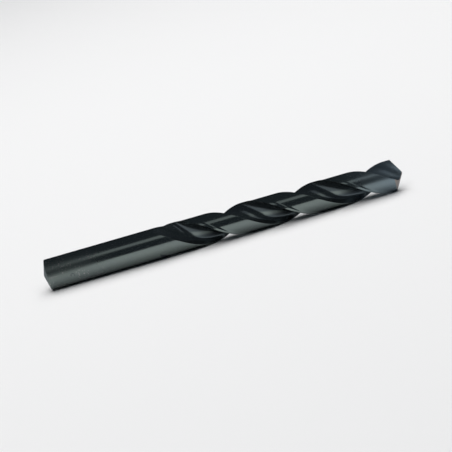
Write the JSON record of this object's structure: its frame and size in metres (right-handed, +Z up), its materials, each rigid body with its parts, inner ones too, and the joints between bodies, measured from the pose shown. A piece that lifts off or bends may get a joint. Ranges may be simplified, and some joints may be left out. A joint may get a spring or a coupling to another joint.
{
  "type": "twist drill bit",
  "caption": "Twist drill bit, 13 mm jobber length, two right-hand helical flutes, 118 degree point, straight shank, black oxide finish",
  "frame": {"origin": "on the surface it lies on, under the middle of its length and of its width", "axes": "+X along the drill from the shank end to the point, +Z up, +Y across"},
  "size_m": [0.152, 0.013, 0.013],
  "materials": {
    "black_oxide_steel": "high-speed steel, steam-treated to a satin black with a faint blue-green tint, worn a little at the edges"
  },
  "bodies": {
    "root": {"twist_drill": "black_oxide_steel"}
  },
  "joints": []
}
